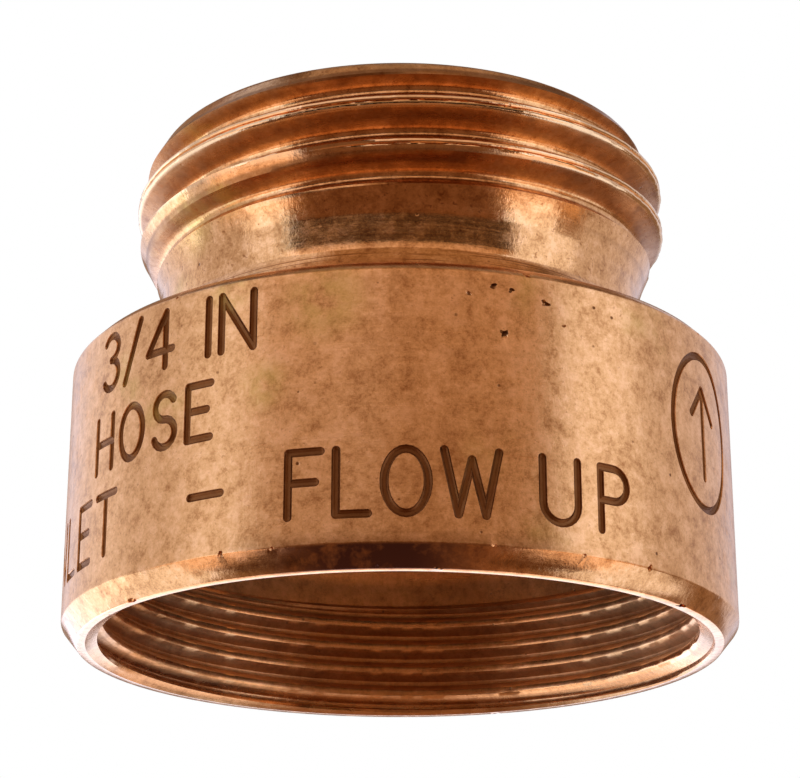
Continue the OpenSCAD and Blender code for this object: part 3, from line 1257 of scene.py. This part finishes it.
@dataclass
class Shell:
    """The one-piece bronze shell: lip, wall, shoulder, neck, hose thread and waterway."""

    shell_r: float = 16.32
    shell_h: float = 13.84
    flare_h: float = 2.4
    flare_lean: float = 25.0
    flare_cone: float = 0.35  # share of its height
    flare_blunt: float = 0.05
    wall_wobble: float = 0.012
    wall_scratch: float = 0.004
    columns: int = 320
    vents: int = 8
    vent_d: float = 1.8
    vent_at: float = 13.75
    vent_z: Point = (11.9, 4.5)  # foot and height of each drill
    hose: HoseThread = field(default_factory=HoseThread)
    pipe: PipeThread = field(default_factory=PipeThread)
    cutter: Cutter = field(default_factory=Cutter)
    wall: tuple[Point, ...] = (
        # radius, height, from the lip up
        (15.13, 0.0), (15.54, 0.0), (15.6, 0.03), (15.94, 0.45), (16.285, 0.88), (16.315, 0.93),
        (16.32, 0.99), (16.32, 1.6), (16.32, 3.6), (16.32, 5.6), (16.32, 7.6), (16.32, 9.6),
        (16.32, 11.6), (16.32, 12.9), (16.32, 13.25), (16.31, 13.325), (16.285, 13.375),
        (15.86, 13.80), (15.81, 13.832), (15.74, 13.84), (15.2, 13.84))
    neck_z: Point = (16.3, 16.65)
    bore: tuple[Point, ...] = (
        # radius, height, from the hose end down
        (12.0, 25.5), (11.3, 25.5), (10.66, 25.5), (10.58, 25.47), (10.22, 25.12), (10.2, 25.04),
        (10.2, 23.4), (10.2, 21.72), (10.23, 21.672), (10.9, 21.672), (10.9, 20.722),
        (10.23, 20.722), (10.2, 20.68), (10.2, 19.8), (10.2, 18.97), (10.15, 18.922),
        (9.55, 18.922), (9.5, 18.87), (9.5, 17.2), (9.5, 15.4), (9.5, 13.6), (9.5, 12.05),
        (9.56, 11.95), (9.7, 11.87), (9.88, 11.85), (10.22, 11.85), (10.42, 11.9), (10.55, 12.03),
        (10.6, 12.15), (10.6, 12.38), (10.64, 12.4), (12.0, 12.4), (13.34, 12.4), (13.4, 12.36),
        (13.4, 11.34), (13.44, 11.3), (14.33, 11.3), (14.35, 11.28), (14.35, 10.0), (14.35, 8.5),
        (14.4, 8.42), (15.17, 8.1), (15.2, 8.04),
        (15.2, 7.2), (15.2, 6.4), (15.2, 6.15))
    marks: tuple[Union[Marking, Badge], ...] = (
        Marking("3/4 IN", -57.0, 10.2, 2.6),
        Marking("HOSE", -58.5, 6.35, 2.5, 0.3),
        Marking("INLET", -84.0, 2.35, 2.75, 0.27),
        Marking("-", -34.0, 2.6, 2.6),
        Marking("FLOW", -17.0, 2.2, 2.85),
        Marking("UP", 22.0, 2.2, 2.85, 0.42),
        Badge(),
    )
    nicks: tuple[Spot, ...] = (
        # degrees from +X, radius, height, size
        (-75.6, 16.3, 12.7, 0.17), (-72.5, 16.31, 12.6, 0.16), (-66.8, 16.3, 12.2, 0.18),
        (-73.9, 16.3, 10.5, 0.22), (-79.5, 16.33, 12.3, 0.11), (-63.7, 16.33, 11.3, 0.12),
        (-118.0, 16.26, 0.95, 0.16), (-109.5, 16.30, 0.9, 0.12), (-76.0, 16.31, 0.93, 0.1),
        (-61.0, 16.3, 0.9, 0.14), (-48.0, 16.28, 0.96, 0.17), (-36.0, 15.5, 0.05, 0.42),
        (-140.0, 15.5, 0.0, 0.24), (-84.0, 15.55, 0.0, 0.14), (152.0, 15.95, 0.4, 0.34),
        (-128.0, 16.3, 13.36, 0.12), (-70.0, 16.28, 13.38, 0.13), (-31.0, 16.3, 13.35, 0.11),
        (25.0, 16.28, 0.9, 0.15), (70.0, 15.5, 0.02, 0.2), (118.0, 16.3, 0.92, 0.13),
        (95.0, 16.28, 13.38, 0.12),
    )
    nick_axes: tuple[float, float, float] = (1.1, 0.75, 0.55)  # along, up and out
    nick_lumps: float = 0.27

    def flare(self) -> list[Point]:
        """The shoulder's hollow arc, the straight cone above it and its slightly blunt edge.

        Returns:
            Radius and height of each corner, going up.
        """
        lean, cone = math.radians(self.flare_lean), self.flare_cone * self.flare_h
        arc_r = (self.flare_h - cone) / (1 - math.sin(lean))
        foot = self.hose.neck_r + cone * math.tan(lean)
        hollow = [(foot + arc_r * (math.cos(lean) - math.sin(a)),
                   self.shell_h + arc_r * (1 - math.cos(a)))
                  for a in np.linspace(0, math.pi / 2 - lean, 9)]
        top, blunt = self.shell_h + self.flare_h, self.flare_blunt
        return [*hollow, (self.hose.neck_r + blunt * math.tan(lean), top - blunt)]

    def outline(self, turn: np.ndarray) -> list[Rows]:
        """Every row of the shell in order, as one loop from the lip up and back down inside.

        Args:
            turn: Angle of each column from +X, in radians.

        Returns:
            Rows of the wall and flare, the hose thread, the bore and the inlet thread.
        """
        neck = [(self.hose.neck_r, z) for z in self.neck_z]
        wall = Rows.plain([*self.wall, *self.flare(), *neck], len(turn))
        wall.height[4:7] += self.wall_wobble * smooth_noise(turn, 3, (7, 19, 29, 53))
        wall.radius[5:6] += self.wall_scratch * (smooth_noise(turn, 4, (43, 71, 101)) - 1)
        wall.radius[-2:] = self.hose.envelope(wall.height[-2:])
        bore = Rows.plain(self.bore, len(turn))
        return [wall, self.hose.rows(turn), bore, self.pipe.rows(turn)]

    def skin(self) -> bpy.types.Object:
        """Make the shell's closed skin, before holes and marks.

        Returns:
            The shell as one closed mesh.
        """
        n = self.columns
        here, turn = np.arange(n), np.arange(n) * 2 * math.pi / n
        after = (here + 1) % n
        points, faces, base = [], [], 0
        for rows in self.outline(turn):
            m = len(rows.radius)
            points.append(np.stack([rows.radius * np.cos(turn), rows.radius * np.sin(turn),
                                    rows.height], -1).reshape(-1, 3))
            for j in range(m - 1):
                step = np.where(after == 0, rows.lead, 0)
                low, high = (base + np.clip(k + step, 0, m - 1) * n + after for k in (j, j + 1))
                faces.append(np.column_stack([base + j * n + here, low, high,
                                              base + (j + 1) * n + here]))
            if base:
                faces.append(np.column_stack([base - n + here, base - n + after,
                                              base + after, base + here]))
            base += m * n
        faces.append(np.column_stack([base - n + here, base - n + after, after, here]))
        made = mesh_piece("shell", np.concatenate(points), np.concatenate(faces).tolist())
        weld(made, 0.004)
        return made

    def chips(self) -> bpy.types.Object:
        """Make the small lumps that take the pits and the nicks out of the shell.

        Returns:
            One object with all of them.
        """
        ball = bmesh.new()
        bmesh.ops.create_icosphere(ball, subdivisions=2, radius=1.0)
        knots = np.array([v.co[:] for v in ball.verts])
        sides = [tuple(v.index for v in f.verts) for f in ball.faces]
        ball.free()
        parts = []
        for k, (angle, r, z, size) in enumerate(self.nicks):
            turn = math.radians(angle)
            centre = np.array([r * math.cos(turn), r * math.sin(turn), z])
            pick = np.random.default_rng(40 + k)
            out = np.array([math.cos(turn), math.sin(turn), pick.uniform(-0.4, 0.4)])
            along = np.array([-math.sin(turn), math.cos(turn), pick.uniform(-0.5, 0.5)])
            axes = np.array(self.nick_axes)[:, None] * np.stack([along, np.cross(out, along), out])
            waves = np.sin(knots @ pick.normal(0.0, 2.4, (3, 3)) + pick.uniform(0, 6, 3))
            lumpy = knots * (1 + self.nick_lumps * waves.sum(1)[:, None])
            parts.append((centre + size * lumpy @ axes, sides))
        return gather("chips", parts)

    def build(self) -> bpy.types.Object:
        """Make the shell, drill its vents, cut its marks and dress it.

        Returns:
            The finished shell.
        """
        shell = self.skin()
        combine(shell, ring_of(
            "vent_drills", BRONZE, self.vents, 180 / self.vents, Item.PIN, self.vent_at,
            (self.vent_d, self.vent_d, self.vent_z[1]), self.vent_z[0]))
        groups: dict[int, list[Path]] = defaultdict(list)
        for mark in self.marks:
            for order, path in mark.strokes(self.shell_r):
                groups[order].append(path)
        for order in sorted(groups):
            combine(shell, gather(f"marks_{order}", map(self.cutter.sweep, groups[order])))
        combine(shell, self.chips())
        soften(shell, 30.0)
        BRONZE.dress(shell)
        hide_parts("body")
        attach(shell, Rider.HOUSING.value)
        return shell


# ---------------------------------------------------------------- inlet pieces


@dataclass
class InletStack:
    """What the pipe clamps in the inlet: washer, seat ring and diaphragm."""

    seat_r: float = 14.32
    seat_z: Point = (9.7, 10.5)
    hub_r: float = 2.9
    bore_r: float = 1.66
    rib_w: float = 1.6

    def washer(self) -> bpy.types.Object:
        """Make the flat rubber washer with soft corners.

        Returns:
            The finished piece.
        """
        piece = lathe("inlet_washer", [
            (9.62, 8.5), (14.13, 8.5), (14.22, 8.54), (14.25, 8.62), (14.25, 9.58), (14.22, 9.66),
            (14.13, 9.7), (9.62, 9.7), (9.53, 9.66), (9.5, 9.58), (9.5, 8.62), (9.53, 8.54)], 160)
        soften(piece)
        RUBBER.dress(piece)
        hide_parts("inlet_gasket")
        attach(piece, Rider.HOUSING.value)
        return piece

    def seat(self) -> bpy.types.Object:
        """Make the brass spider: rim, support ring and hub joined by four ribs.

        Returns:
            The finished piece.
        """
        low, high = self.seat_z
        piece = lathe("brass_seat", [
            (10.75, low), (self.seat_r, low), (self.seat_r, high), (10.75, high)], 160)
        for part in (
                lathe("support", [(5.4, 8.9), (7.2, 8.9), (7.2, high), (5.4, high)], 128),
                lathe("hub", [(0, 7.9), (self.hub_r, 7.9), (self.hub_r, 9.9), (0, 9.9)], 96),
                ring_of("inner_ribs", BRASS, 4, 45, Item.BAR, 4.1, (3.6, self.rib_w, 1.0), 8.9),
                ring_of("outer_ribs", BRASS, 4, 45, Item.BAR, 9.53, (5.65, self.rib_w, 0.8), low)):
            combine(piece, part, Join.ADD)
        combine(piece, lathe("bore", [(0, 7), (self.bore_r, 7), (self.bore_r, 11), (0, 11)], 64))
        round_edges(piece, 0.1)
        soften(piece, 40)
        BRASS.dress(piece)
        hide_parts("seat_ring")
        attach(piece, Rider.HOUSING.value)
        return piece

    def diaphragm(self) -> bpy.types.Object:
        """Make the rubber diaphragm: clamped rim, thinner web and a thick lip.

        Returns:
            The finished piece.
        """
        under = [(5.32, 10.5), (7.1, 10.5), (7.3, 10.56), (7.55, 10.65), (12.75, 10.65),
                 (12.95, 10.6), (13.1, 10.5), (14.18, 10.5), (14.25, 10.57)]
        over = [(14.25, 11.23), (14.18, 11.3), (13.1, 11.3), (12.95, 11.2), (12.75, 11.15),
                (7.55, 11.15), (7.3, 11.24), (7.1, 11.3), (5.32, 11.3), (5.23, 11.26),
                (5.2, 11.17), (5.2, 10.63), (5.23, 10.54)]
        piece = lathe("rubber_diaphragm", under + over, 160)
        soften(piece)
        RUBBER.dress(piece)
        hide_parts("diaphragm")
        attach(piece, Rider.HOUSING.value)
        return piece

    def build(self) -> list[bpy.types.Object]:
        """Make the three pieces."""
        return [self.washer(), self.seat(), self.diaphragm()]


# ---------------------------------------------------------------- the valve


@dataclass
class CheckValve:
    """The sliding plunger with its sealing washer and nut."""

    stem_r: float = 1.6
    head_r: float = 7.6
    nut_r: float = 3.45
    nut_z: Point = (10.25, 11.3)

    def plunger(self) -> bpy.types.Object:
        """Make the moulded plunger with its pocket, boss and long stem.

        Returns:
            The finished piece.
        """
        s, h = self.stem_r, self.head_r
        piece = lathe("acetal_plunger", [
            (0, 8.0), (s - 0.45, 8.0), (s - 0.15, 8.12), (s, 8.4), (s, 12.1), (h - 0.55, 12.1),
            (h - 0.55, 11.78), (h - 0.5, 11.75), (h - 0.1, 11.75), (h - 0.02, 11.78), (h, 11.86),
            (h, 12.78), (h - 0.08, 13.0), (h - 0.3, 13.1), (4.52, 13.1), (4.43, 13.13),
            (4.4, 13.22), (4.4, 13.98), (4.33, 14.16), (4.16, 14.28), (4.0, 14.3), (2.75, 14.3),
            (2.5, 14.36), (2.3, 14.55), (1.85, 15.05), (1.66, 15.32), (s, 15.6), (s, 18.0),
            (s, 20.5), (s - 0.12, 20.82), (s - 0.35, 21.0), (s - 0.6, 21.07), (0, 21.07)], 128)
        gate = lathe("gate_mark", [(0, 20.98), (0.42, 20.98), (0.5, 21.3), (0, 21.3)], 32)
        combine(piece, gate)
        soften(piece, 38)
        ACETAL.dress(piece)
        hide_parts("plunger")
        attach(piece, Rider.VALVE.value)
        return piece

    def washer(self) -> bpy.types.Object:
        """Make the rubber sealing washer in the plunger's pocket.

        Returns:
            The finished piece.
        """
        piece = lathe("sealing_washer", [
            (1.70, 11.3), (6.9, 11.3), (6.97, 11.33), (7.0, 11.4), (7.0, 12.02), (6.97, 12.08),
            (6.9, 12.1), (1.70, 12.1), (1.62, 12.04), (1.62, 11.38)], 128)
        soften(piece)
        RUBBER.dress(piece)
        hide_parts("seal_disc")
        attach(piece, Rider.VALVE.value)
        return piece

    def nut(self) -> bpy.types.Object:
        """Make the thin hexagon nut, chamfered on its free side, with a countersunk bore.

        Returns:
            The finished piece.
        """
        low, high = self.nut_z
        piece = mesh_piece("brass_nut", *prism(circle(self.nut_r, 6), low, high))
        cone = lathe("nut_cone", [
            (0, low), (3.02, low), (3.47, 10.5), (3.47, high), (0, high)], 96)
        bore = lathe("nut_bore", [
            (0, 10.0), (1.95, 10.0), (1.95, low), (self.stem_r, 10.6), (self.stem_r, 11.6),
            (0, 11.6)], 64)
        combine(piece, cone, Join.KEEP)
        combine(piece, bore)
        round_edges(piece, 0.04, 50)
        soften(piece, 35)
        BRASS.dress(piece)
        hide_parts("disc_nut")
        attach(piece, Rider.VALVE.value)
        return piece

    def build(self) -> list[bpy.types.Object]:
        """Make the three pieces."""
        return [self.plunger(), self.washer(), self.nut()]


# ---------------------------------------------------------------- outlet pieces


@dataclass
class OutletStack:
    """What sits in the hose end: spring, guide and its retaining ring."""

    spring_r: float = 5.2
    wire_d: float = 0.7
    turns: float = 5.0
    spring_low: float = 13.1
    spring_high: float = 18.97
    end_turns: float = 0.8
    guide_r: float = 10.15
    guide_top: float = 20.72
    ring_r: Point = (9.5, 10.85)
    ring_open: Point = (110, 430)  # degrees of its two ends
    ring_columns: int = 161
    ring_low: float = 20.772
    ring_t: float = 0.8
    eye: Point = (1.15, 9.45)  # radius, distance from the axis
    hole: Point = (0.55, 9.35)
    steps_in_turn: int = 72
    wire_sides: int = 16

    def winding(self) -> PatternTree:
        """Wire the tree that winds a closed-end spring.

        Returns:
            The tree, closed, with its sizes as named inputs.
        """
        half = self.wire_d / 2
        low, high = self.spring_low + half, self.spring_high - half
        rise = self.end_turns * self.wire_d * 1.02
        plan = PatternTree("spring_winding", {
            "Mean radius": self.spring_r * MM, "Wire radius": half * MM, "Turns": self.turns,
            "Low": low * MM, "End rise": rise * MM, "Open rise": (high - low - 2 * rise) * MM,
            "End share": self.end_turns / self.turns})
        bench, size = plan.bench, plan.size
        coil = bench.node("GeometryNodeCurveSpiral", {
            "Resolution": self.steps_in_turn, "Rotations": size("Turns"), "Height": 0.0,
            "Start Radius": size("Mean radius"), "End Radius": size("Mean radius")}).outputs[0]
        along = bench.node("GeometryNodeSplineParameter").outputs["Factor"]
        first = size("End share")
        last = bench.maths("SUBTRACT", 1.0, first)
        z = size("Low")
        for start, end, rise in ((0.0, first, "End rise"), (first, last, "Open rise"),
                                 (last, 1.0, "End rise")):
            part = bench.maths("DIVIDE", bench.maths("SUBTRACT", along, start),
                               bench.maths("SUBTRACT", end, start), clamp=True)
            z = bench.scaled(part, size(rise), z)
        here = bench.node("GeometryNodeInputPosition").outputs[0]
        x, y = bench.node("ShaderNodeSeparateXYZ", {0: here}).outputs[:2]
        wound = bench.node("GeometryNodeSetPosition", {
            "Geometry": coil, "Position": bench.vector(x, y, z)}).outputs[0]
        wire = bench.node("GeometryNodeCurvePrimitiveCircle", {
            "Resolution": self.wire_sides, "Radius": size("Wire radius")}).outputs[0]
        plan.close(bench.node("GeometryNodeCurveToMesh", {
            "Curve": wound, "Profile Curve": wire, "Fill Caps": True}).outputs[0])
        return plan

    def spring(self) -> bpy.types.Object:
        """Make the compression spring, wound between fixed heights.

        Returns:
            The finished piece.
        """
        piece = self.winding().make("check_spring_wire", STEEL)
        soften(piece, 50)
        STEEL.dress(piece)
        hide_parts("check_spring")
        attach(piece, Rider.HOUSING.value)
        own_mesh(piece)
        return piece

    def guide(self) -> bpy.types.Object:
        """Make the moulded spider that guides the stem and holds the spring.

        Returns:
            The finished piece.
        """
        low, high = self.spring_high, self.guide_top
        piece = lathe("acetal_guide", [
            (9.0, low), (self.guide_r, low), (self.guide_r, high), (9.0, high)], 160)
        hub = lathe("guide_hub", [
            (0, 18.47), (2.95, 18.47), (3.1, 18.6), (3.1, high), (0, high)], 96)
        ribs = ring_of("guide_ribs", ACETAL, 4, 0, Item.BAR, 6.05, (6.7, 1.6, 1.2), low)
        bore = lathe("guide_bore", [
            (0, 17), (1.66, 17), (1.66, 20.52), (1.86, 20.8), (0, 20.8)], 64)
        combine(piece, hub, Join.ADD)
        combine(piece, ribs, Join.ADD)
        combine(piece, bore)
        round_edges(piece, 0.12)
        soften(piece, 40)
        ACETAL.dress(piece)
        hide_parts("outlet_guide")
        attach(piece, Rider.HOUSING.value)
        return piece

    def ring(self) -> bpy.types.Object:
        """Make the sprung ring with an eye at each end, stamped from strip.

        Returns:
            The finished piece.
        """
        low, high = self.ring_low, self.ring_low + self.ring_t
        inner, outer = self.ring_r
        turn = np.radians(np.linspace(*self.ring_open, self.ring_columns))
        way = np.column_stack([np.cos(turn), np.sin(turn)])
        corners = ((inner, low), (outer, low), (outer, high), (inner, high))
        points = np.concatenate([level(r * way, z) for r, z in corners])
        starts = [k * self.ring_columns for k in range(4)]
        ends = [start + self.ring_columns - 1 for start in starts]
        faces = [*bands(in_turn(4), self.ring_columns, around=False),
                 tuple(starts), tuple(ends[::-1])]
        piece = gather("retaining_clip", [(points, faces)])
        combine(piece, self.eyes("clip_eyes", *self.eye, low, high), Join.ADD)
        combine(piece, self.eyes("clip_holes", *self.hole, low - 1, high + 1))
        round_edges(piece, 0.07, 50)
        soften(piece, 40)
        STEEL.dress(piece)
        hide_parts("retaining_ring")
        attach(piece, Rider.HOUSING.value)
        return piece

    def eyes(self, name: str, radius: float, at: float, low: float,
             high: float) -> bpy.types.Object:
        """Make two upright pins, at the two ends of the clip.

        Args:
            name: The object's name.
            radius: Radius of the pins.
            at: Distance of their centres from the axis.
            low: Height of their feet.
            high: Height of their tops.

        Returns:
            One object with both.
        """
        centres = [at * np.array([math.cos(a), math.sin(a)]) for a in np.radians(self.ring_open)]
        return gather(name, [prism(centre + circle(radius, 40), low, high) for centre in centres])

    def build(self) -> list[bpy.types.Object]:
        """Make the three pieces."""
        return [self.spring(), self.guide(), self.ring()]


# ---------------------------------------------------------------- studio


@dataclass(frozen=True)
class Lamp:
    """One soft panel of light that looks at the object."""

    name: str
    place: tuple[float, float, float]
    size: tuple[float, float]
    watts: float
    target: tuple[float, float, float] = (0, 0, 0.012)

    def build(self) -> None:
        """Add the lamp."""
        data = bpy.data.lights.new(self.name, "AREA")
        data.shape = "RECTANGLE"
        data.size, data.size_y = self.size
        data.energy = self.watts
        made = bpy.data.objects.new(self.name, data)
        made.location = self.place
        way = Vector(self.target) - Vector(self.place)
        made.rotation_euler = way.to_track_quat("-Z", "Y").to_euler()
        bpy.context.scene.collection.objects.link(made)


class Tint(Enum):
    """Colours of the light: soft boxes a little bluish, the room warm, its lowest part warmer."""

    SOFT_BOX = (0.78, 1.0, 1.42)
    ROOM = (1.25, 0.8, 0.5)
    UNDERSIDE = (1.4, 0.68, 0.36)


@dataclass(frozen=True)
class Panel:
    """One soft-edged patch of the surround, in degrees as the object sees it."""

    left: float  # from the front, towards +X
    right: float
    low: float
    high: float
    level: float
    soft: float = 5.0

    def mask(self, bench: NodeBench, way: Socket, rise: Socket) -> Socket:
        """1 inside the patch and 0 outside it.

        Args:
            bench: The world's bench.
            way: The direction looked at, in radians from the front towards +X.
            rise: Its elevation in radians.

        Returns:
            The mask's socket.
        """
        left, right, low, high, soft = (math.radians(angle) for angle in (
            self.left, self.right, self.low, self.high, self.soft))
        middle, half, edge = (left + right) / 2, (right - left) / 2, soft / 2
        aside = bench.maths("ABSOLUTE", bench.maths(
            "WRAP", bench.maths("SUBTRACT", way, middle), math.pi, -math.pi))
        return bench.times(bench.step(aside, half + edge, half - edge),
                           bench.step(rise, low - edge, low + edge),
                           bench.step(rise, high + edge, high - edge))


@dataclass
class Studio:
    """Floor, surround of soft panels, a weak lamp and the camera at the photograph's angle."""

    surrounds: dict[Tint, tuple[Panel, ...]] = field(default_factory=lambda: {
        Tint.SOFT_BOX: (
            Panel(-73, -51, 4, 32, 0.95),
            Panel(-73, -51, -14, 4, 1.5),
            Panel(-107, -73, -25, 32, 0.55),
            Panel(-158, -107, 2, 32, 0.85),
            Panel(-165, -103, -27, 2, 1.9),
            Panel(-135, -50, 32, 62, 0.65, 10),
            Panel(-54, -5, 15, 50, 0.36, 8),
            Panel(-5, 46, 16, 50, 0.15, 8),
            Panel(55, 88, 4, 46, 1.15),
            Panel(49, 74, -14, 4, 1.4),
            Panel(88, 128, -8, 46, 0.55),
            Panel(128, 162, -8, 40, 0.6),
            Panel(-140, -88, -54, -27, 1.25, 8),
            Panel(-88, -45, -45, -25, 0.5, 8),
            Panel(45, 85, -45, -25, 0.5, 8),
            Panel(85, 122, -58, -25, 1.15, 8),
            Panel(158, 202, -32, -8, 1.6, 8),
            Panel(140, 220, -66, -32, 0.7, 8),
        ),
        Tint.ROOM: (
            Panel(-55, 52, 15, 50, 0.53, 8),
            Panel(52, 305, -8, 50, 0.25),
            Panel(-88, -48, -45, -8, 0.75, 8),
            Panel(48, 88, -45, -8, 0.75, 8),
            Panel(88, 272, -66, -8, 0.25, 8),
            Panel(140, 220, -66, -25, 0.5, 8),
            Panel(-180, 180, 50, 91, 0.13, 8),
            Panel(-95, 95, 50, 80, 0.2, 8),
        ),
        Tint.UNDERSIDE: (
            Panel(-50, 50, -66, 6, 0.14, 8),
            Panel(-88, 88, -66, -45, 0.1, 8),
            Panel(-180, 180, -91, -66, 0.25, 8),
        ),
    })
    plain_level: float = 0.85
    lamp: Lamp = Lamp("top_panel", (0.02, 0.05, 0.42), (0.3, 0.3), 0.05)
    floor_half: float = 6000.0
    floor_z: float = -0.1
    floor_tone: float = 0.93
    camera_place: tuple[float, float, float] = (0.0, -0.10819, -0.02509)
    camera_pitch: float = 0.3431
    camera_lens: float = 102.52
    camera_sensor: float = 36.0
    camera_near: float = 0.002

    def floor(self) -> None:
        """Add a pale floor that shows from above and lets the camera look through from below."""
        corners = self.floor_half * np.array([[-1, -1], [1, -1], [1, 1], [-1, 1]])
        made = mesh_piece("floor", level(corners, self.floor_z), [(0, 1, 2, 3)])
        paint = bpy.data.materials.new("floor_paint")
        paint.use_nodes = True
        paint.node_tree.nodes.clear()
        bench = NodeBench(paint.node_tree)
        tone = (self.floor_tone,) * 3
        matt = bench.node("ShaderNodeBsdfDiffuse", {"Color": (*tone, 1.0)}).outputs[0]
        clear = bench.node("ShaderNodeBsdfTransparent").outputs[0]
        behind = bench.node("ShaderNodeNewGeometry").outputs["Backfacing"]
        seen = bench.node("ShaderNodeMixShader", {0: behind, 1: matt, 2: clear}).outputs[0]
        bench.node("ShaderNodeOutputMaterial", {"Surface": seen})
        made.data.materials.append(paint)
        made.visible_glossy = made.visible_diffuse = made.visible_transmission = False
        made.visible_shadow = False
        made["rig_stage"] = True

    def surround(self) -> None:
        """Light the scene by its world.

        The camera sees white, shiny surfaces see a dim room with soft bright panels, and matt
        ones a plain even light.
        """
        world = bpy.data.worlds.new("studio")
        bpy.context.scene.world = world
        world.use_nodes = True
        world.node_tree.nodes.clear()
        bench = NodeBench(world.node_tree)

        def glow(colour: Colour, strength: Value) -> Socket:
            """The shader of one light."""
            return bench.node("ShaderNodeBackground", {
                "Color": (*colour, 1.0), "Strength": strength}).outputs[0]

        here = bench.node("ShaderNodeTexCoord").outputs["Generated"]
        x, y, z = bench.node("ShaderNodeSeparateXYZ", {0: here}).outputs
        rise = bench.maths("ARCSINE", z)
        way = bench.maths("ARCTAN2", x, bench.times(y, -1.0))
        lights = []
        for tint, panels in self.surrounds.items():
            total: Value = 0.0
            for panel in panels:
                total = bench.scaled(panel.mask(bench, way, rise), panel.level, total)
            lights.append(glow(tint.value, total))
        shiny = reduce(lambda first, second: bench.node(
            "ShaderNodeAddShader", {0: first, 1: second}).outputs[0], lights)
        white = (1.0, 1.0, 1.0)
        path = bench.node("ShaderNodeLightPath").outputs
        matt = bench.node("ShaderNodeMixShader", {
            0: path["Is Diffuse Ray"], 1: shiny, 2: glow(white, self.plain_level)}).outputs[0]
        seen = bench.node("ShaderNodeMixShader", {
            0: path["Is Camera Ray"], 1: matt, 2: glow(white, 1.0)}).outputs[0]
        bench.node("ShaderNodeOutputWorld", {"Surface": seen})

    def camera(self) -> None:
        """Add the camera, below and in front, looking up at the inlet."""
        data = bpy.data.cameras.new("camera")
        data.sensor_width = self.camera_sensor
        data.lens = self.camera_lens
        data.clip_start = self.camera_near
        made = bpy.data.objects.new("camera", data)
        made.location = self.camera_place
        made.rotation_euler = (math.pi / 2 + self.camera_pitch, 0.0, 0.0)
        bpy.context.scene.collection.objects.link(made)
        bpy.context.scene.camera = made

    def build(self) -> None:
        """Set up everything round the object."""
        self.floor()
        self.surround()
        self.lamp.build()
        self.camera()
        bpy.context.scene.view_settings.view_transform = "Standard"


def keep_sizes() -> None:
    """Turn the CAD box and the visual model's box into plain numbers, without keeping them.
    """
    plain: Callable[[object], list[list[float]]] = lambda box: [
        [float(v) for v in corner] for corner in box]
    {"cad": plain(CAD_BOX), "visual": plain(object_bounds())}


def main() -> None:
    """Build every sub-assembly in order and report each piece."""
    logging.basicConfig(level=logging.INFO, format="%(name)s: %(message)s")
    Studio().build()
    pieces = [Shell().build(), *InletStack().build(), *CheckValve().build(),
              *OutletStack().build()]
    for piece in pieces:
        tris = sum(len(p.vertices) - 2 for p in piece.data.polygons)
        LOG.info("%s: %d triangles, rides on %s", piece.name, tris, piece["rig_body"])
    keep_sizes()


if __name__ == "__main__":
    main()
